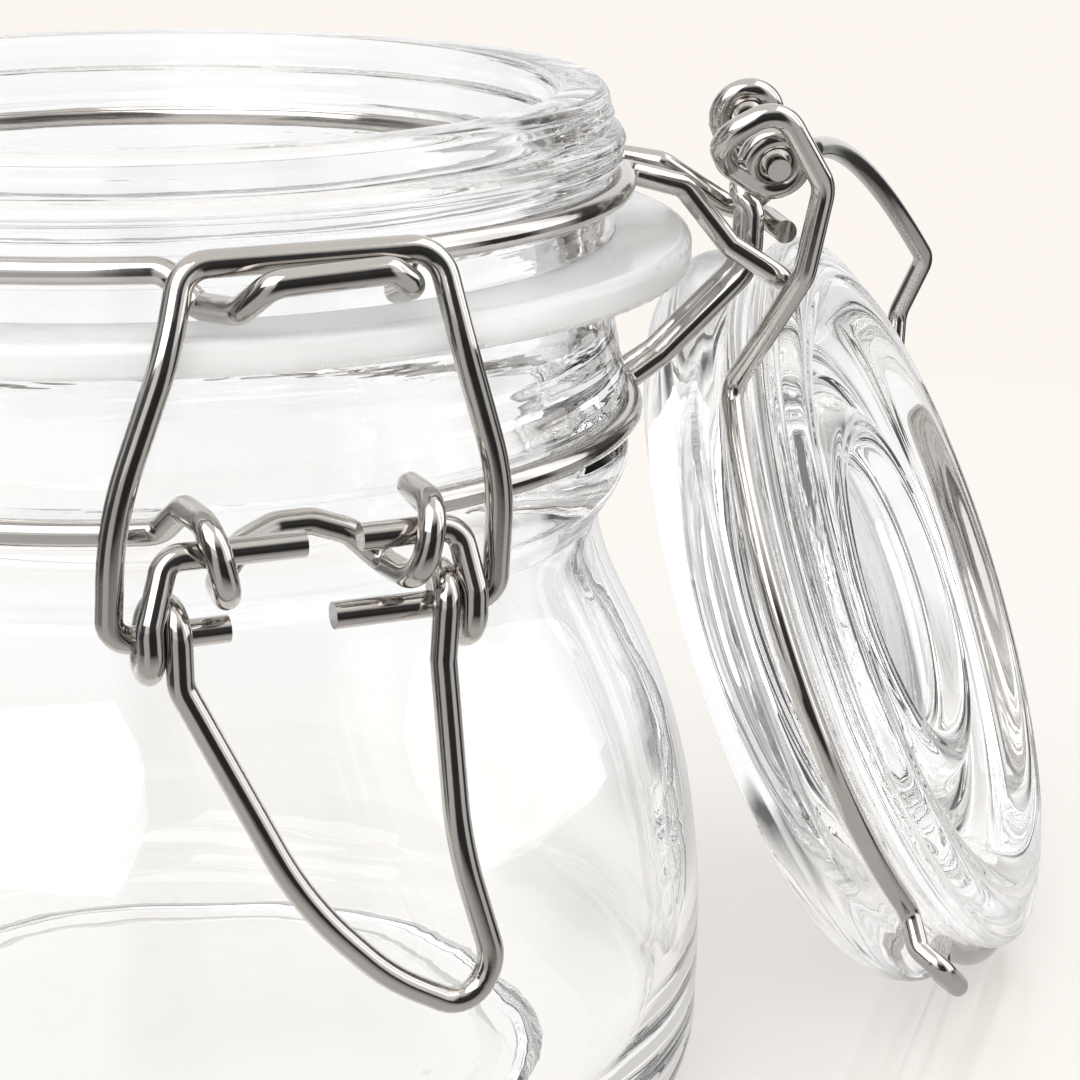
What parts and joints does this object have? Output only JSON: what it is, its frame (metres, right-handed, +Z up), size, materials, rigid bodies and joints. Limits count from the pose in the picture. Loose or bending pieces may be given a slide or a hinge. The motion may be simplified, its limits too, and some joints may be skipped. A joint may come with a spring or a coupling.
{
  "type": "clip-top jar",
  "caption": "Clear glass storage jar with a hinged thick glass lid hanging open at its side, a soft seal round the neck and a steel wire clasp.",
  "frame": {"origin": "centre of the foot, on the surface the jar stands on", "axes": "+Z up the jar's axis; the clasp faces -Y; the lid hangs at +X"},
  "size_m": [0.166, 0.1102, 0.1025],
  "materials": {
    "glass": "clear, glossy",
    "seal": "milky translucent silicone",
    "wire": "polished stainless wire"
  },
  "bodies": {
    "jar": {"jar_body": "glass", "gasket": "seal", "upper_ring": "wire", "neck_ring": "wire"},
    "lever": {"lever": "wire"},
    "bail": {"bail": "wire"},
    "lid": {"lid_glass": "glass", "lid_wire": "wire"}
  },
  "joints": [
    {"name": "lid_hinge", "type": "hinge", "parent": "jar", "child": "lid", "pos_m": [0.05903, -0.01126, 0.09545], "axis": [-0.179, -0.9384, -0.2957], "range_deg": [0, 240.06]},
    {"name": "lever_pivot", "type": "hinge", "parent": "jar", "child": "lever", "pos_m": [0, -0.0516, 0.0719], "axis": [-1, 0, 0], "range_deg": [0, 90]},
    {"name": "bail_pivot", "type": "hinge", "parent": "lever", "child": "bail", "pos_m": [0, -0.0503, 0.0651], "axis": [-1, 0, 0], "range_deg": [-70.2, 0]}
  ],
  "couplings": [
    {"joint": "bail_pivot", "follows": "lever_pivot", "ratio": -0.78}
  ]
}
